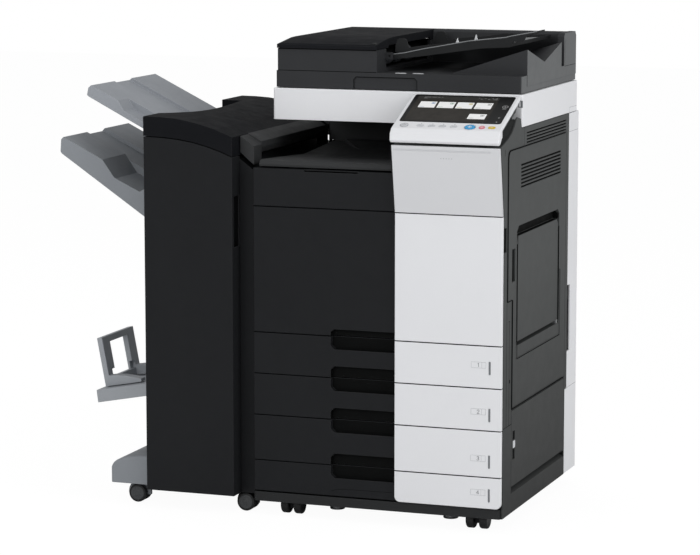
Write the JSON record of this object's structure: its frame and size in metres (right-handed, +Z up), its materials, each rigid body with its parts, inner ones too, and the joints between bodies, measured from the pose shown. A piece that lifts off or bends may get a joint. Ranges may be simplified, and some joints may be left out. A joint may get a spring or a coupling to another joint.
{
  "type": "office photocopier with finisher",
  "caption": "Floor-standing office photocopier: paper drawers, engine with front and side doors, scanner with document feeder, tilting touch panel and a side finisher with output trays.",
  "frame": {"origin": "middle of the overall footprint on the floor", "axes": "+X to the operator's right, +Y to the back, +Z up"},
  "size_m": [1.149, 0.6718, 1.147],
  "materials": {
    "frame_steel": "satin powder coat",
    "black_plastic": "fine-textured moulded black",
    "dark_grey_plastic": "fine-textured moulded dark grey",
    "white_plastic": "fine-textured moulded off-white",
    "tray_grey_plastic": "fine-textured moulded grey",
    "platen_glass": "clear polished",
    "screen_glass": "gloss black",
    "pad_white": "soft white sheet",
    "key_grey": "satin",
    "key_blue": "translucent blue",
    "key_red": "satin pale red",
    "key_yellow": "satin amber",
    "zinc_steel": "zinc plated",
    "wheel_rubber": "matt black",
    "unit_plastic": "satin"
  },
  "bodies": {
    "cabinet": {"base_frame": "frame_steel", "left_cover": "black_plastic", "right_cover": "dark_grey_plastic", "rear_cover": "white_plastic", "output_tray": "black_plastic", "leveling_feet": "zinc_steel", "scanner_case": "white_plastic", "platen_glass": "platen_glass", "relay_unit": "black_plastic", "finisher_case": "black_plastic", "finisher_foot": "tray_grey_plastic", "upper_output_tray": "tray_grey_plastic", "booklet_tray": "tray_grey_plastic", "toner_cartridges": "unit_plastic", "drum_units": "unit_plastic", "waste_toner_box": "unit_plastic", "fuser_unit": "unit_plastic"},
    "scan_carriage": {"scan_carriage": "zinc_steel"},
    "document_feeder": {"lid_body": "black_plastic", "pressure_pad": "pad_white"},
    "feeder_cover": {"feeder_cover": "black_plastic"},
    "document_tray": {"document_tray": "black_plastic"},
    "guide_front": {"guide_front": "black_plastic"},
    "guide_rear": {"guide_rear": "black_plastic"},
    "panel": {"panel_case": "white_plastic", "touch_screen": "screen_glass"},
    "energy_key": {"energy_key": "key_grey"},
    "key_1": {"key_1": "key_grey"},
    "key_2": {"key_2": "key_grey"},
    "key_3": {"key_3": "key_grey"},
    "key_4": {"key_4": "key_grey"},
    "start_key": {"start_key": "key_blue"},
    "stop_key": {"stop_key": "key_red"},
    "reset_key": {"reset_key": "key_yellow"},
    "upper_door": {"upper_door": "black_plastic", "upper_door_fascia": "white_plastic"},
    "lower_door": {"lower_door": "black_plastic", "lower_door_fascia": "white_plastic"},
    "drawer_1": {"drawer_1": "black_plastic", "drawer_1_fascia": "white_plastic"},
    "drawer_2": {"drawer_2": "black_plastic", "drawer_2_fascia": "white_plastic"},
    "drawer_3": {"drawer_3": "black_plastic", "drawer_3_fascia": "white_plastic"},
    "drawer_4": {"drawer_4": "black_plastic", "drawer_4_fascia": "white_plastic"},
    "side_door": {"side_door": "dark_grey_plastic"},
    "bypass_tray": {"bypass_tray": "dark_grey_plastic"},
    "lower_side_door": {"lower_side_door": "dark_grey_plastic"},
    "finisher_door": {"finisher_door": "black_plastic"},
    "finisher_top_cover": {"finisher_top_cover": "black_plastic"},
    "main_output_tray": {"main_output_tray": "tray_grey_plastic"},
    "booklet_stopper": {"booklet_stopper": "tray_grey_plastic"},
    "caster_fork_left": {"caster_fork_left": "black_plastic"},
    "caster_wheels_left": {"caster_wheels_left": "wheel_rubber"},
    "caster_fork_right": {"caster_fork_right": "black_plastic"},
    "caster_wheels_right": {"caster_wheels_right": "wheel_rubber"},
    "rear_wheels": {"rear_wheels": "wheel_rubber"},
    "finisher_wheels_left": {"finisher_wheels_left": "wheel_rubber"},
    "finisher_wheels_right": {"finisher_wheels_right": "wheel_rubber"}
  },
  "joints": [
    {"name": "carriage_scan", "type": "slide", "parent": "cabinet", "child": "scan_carriage", "axis": [1, 0, 0], "range_m": [0, 0.37]},
    {"name": "lid_hinge", "type": "hinge", "parent": "cabinet", "child": "document_feeder", "pos_m": [0.2465, 0.32192, 1.006], "axis": [-1, 0, 0], "range_deg": [0, 60]},
    {"name": "feeder_cover_hinge", "type": "hinge", "parent": "document_feeder", "child": "feeder_cover", "pos_m": [-0.0456, 0.07291, 1.0994], "axis": [0, -1, 0], "range_deg": [0, 75]},
    {"name": "document_tray_hinge", "type": "hinge", "parent": "document_feeder", "child": "document_tray", "pos_m": [0.2145, 0.08292, 1.081], "axis": [0, -1, 0], "range_deg": [0, 25]},
    {"name": "guide_front_slide", "type": "slide", "parent": "document_tray", "child": "guide_front", "axis": [0, 1, 0], "range_m": [-0.002, 0.11]},
    {"name": "guide_rear_slide", "type": "slide", "parent": "document_tray", "child": "guide_rear", "axis": [0, 1, 0], "range_m": [-0.11, 0.002]},
    {"name": "panel_tilt", "type": "hinge", "parent": "cabinet", "child": "panel", "pos_m": [0.4285, -0.17508, 0.984], "axis": [-1, 0, 0], "range_deg": [0, 35]},
    {"name": "energy_key_press", "type": "slide", "parent": "panel", "child": "energy_key", "axis": [0, 0.3804, -0.9248], "range_m": [0, 0.0012]},
    {"name": "key_1_press", "type": "slide", "parent": "panel", "child": "key_1", "axis": [0, 0.3804, -0.9248], "range_m": [0, 0.0012]},
    {"name": "key_2_press", "type": "slide", "parent": "panel", "child": "key_2", "axis": [0, 0.3804, -0.9248], "range_m": [0, 0.0012]},
    {"name": "key_3_press", "type": "slide", "parent": "panel", "child": "key_3", "axis": [0, 0.3804, -0.9248], "range_m": [0, 0.0012]},
    {"name": "key_4_press", "type": "slide", "parent": "panel", "child": "key_4", "axis": [0, 0.3804, -0.9248], "range_m": [0, 0.0012]},
    {"name": "start_key_press", "type": "slide", "parent": "panel", "child": "start_key", "axis": [0, 0.3804, -0.9248], "range_m": [0, 0.0012]},
    {"name": "stop_key_press", "type": "slide", "parent": "panel", "child": "stop_key", "axis": [0, 0.3804, -0.9248], "range_m": [0, 0.0012]},
    {"name": "reset_key_press", "type": "slide", "parent": "panel", "child": "reset_key", "axis": [0, 0.3804, -0.9248], "range_m": [0, 0.0012]},
    {"name": "upper_door_hinge", "type": "hinge", "parent": "cabinet", "child": "upper_door", "pos_m": [0.2465, -0.30623, 0.7417], "axis": [1, 0, 0], "range_deg": [0, 85]},
    {"name": "lower_door_hinge", "type": "hinge", "parent": "cabinet", "child": "lower_door", "pos_m": [0.2465, -0.30489, 0.4437], "axis": [1, 0, 0], "range_deg": [0, 90]},
    {"name": "drawer_1_slide", "type": "slide", "parent": "cabinet", "child": "drawer_1", "axis": [0, -1, 0], "range_m": [0, 0.4]},
    {"name": "drawer_2_slide", "type": "slide", "parent": "cabinet", "child": "drawer_2", "axis": [0, -1, 0], "range_m": [0, 0.4]},
    {"name": "drawer_3_slide", "type": "slide", "parent": "cabinet", "child": "drawer_3", "axis": [0, -1, 0], "range_m": [0, 0.4]},
    {"name": "drawer_4_slide", "type": "slide", "parent": "cabinet", "child": "drawer_4", "axis": [0, -1, 0], "range_m": [0, 0.4]},
    {"name": "side_door_hinge", "type": "hinge", "parent": "cabinet", "child": "side_door", "pos_m": [0.5605, 0.22092, 0.58], "axis": [0, 0, 1], "range_deg": [0, 80]},
    {"name": "bypass_tray_hinge", "type": "hinge", "parent": "side_door", "child": "bypass_tray", "pos_m": [0.559, -0.01409, 0.434], "axis": [0, 1, 0], "range_deg": [0, 70]},
    {"name": "lower_side_door_hinge", "type": "hinge", "parent": "cabinet", "child": "lower_side_door", "pos_m": [0.5605, 0.21991, 0.19], "axis": [0, 0, 1], "range_deg": [0, 80]},
    {"name": "finisher_door_hinge", "type": "hinge", "parent": "cabinet", "child": "finisher_door", "pos_m": [-0.316, -0.32009, 0.47], "axis": [0, 0, -1], "range_deg": [0, 100]},
    {"name": "finisher_top_hinge", "type": "hinge", "parent": "cabinet", "child": "finisher_top_cover", "pos_m": [-0.2035, 0.30491, 0.897], "axis": [-1, 0, 0], "range_deg": [0, 60]},
    {"name": "main_tray_lift", "type": "slide", "parent": "cabinet", "child": "main_output_tray", "axis": [0, 0, 1], "range_m": [-0.26, 0]},
    {"name": "booklet_stopper_slide", "type": "slide", "parent": "cabinet", "child": "booklet_stopper", "axis": [0.9828, 0, 0.1849], "range_m": [0, 0.085]},
    {"name": "caster_swivel_left", "type": "hinge", "parent": "cabinet", "child": "caster_fork_left", "pos_m": [0.0295, -0.23508, 0.048], "axis": [0, 0, 1], "continuous": true},
    {"name": "caster_spin_left", "type": "hinge", "parent": "caster_fork_left", "child": "caster_wheels_left", "pos_m": [0.0295, -0.24708, 0.022], "axis": [1, 0, 0], "continuous": true},
    {"name": "caster_swivel_right", "type": "hinge", "parent": "cabinet", "child": "caster_fork_right", "pos_m": [0.4895, -0.23508, 0.048], "axis": [0, 0, 1], "continuous": true},
    {"name": "caster_spin_right", "type": "hinge", "parent": "caster_fork_right", "child": "caster_wheels_right", "pos_m": [0.4895, -0.24708, 0.022], "axis": [1, 0, 0], "continuous": true},
    {"name": "rear_wheels_spin", "type": "hinge", "parent": "cabinet", "child": "rear_wheels", "pos_m": [0.2595, 0.26292, 0.022], "axis": [1, 0, 0], "continuous": true},
    {"name": "finisher_left_spin", "type": "hinge", "parent": "cabinet", "child": "finisher_wheels_left", "pos_m": [-0.3675, 0.00792, 0.0223], "axis": [0, 1, 0], "continuous": true},
    {"name": "finisher_right_spin", "type": "hinge", "parent": "cabinet", "child": "finisher_wheels_right", "pos_m": [-0.0855, 0.00792, 0.0223], "axis": [0, 1, 0], "continuous": true}
  ],
  "couplings": [
    {"joint": "guide_rear_slide", "follows": "guide_front_slide", "ratio": -1}
  ]
}
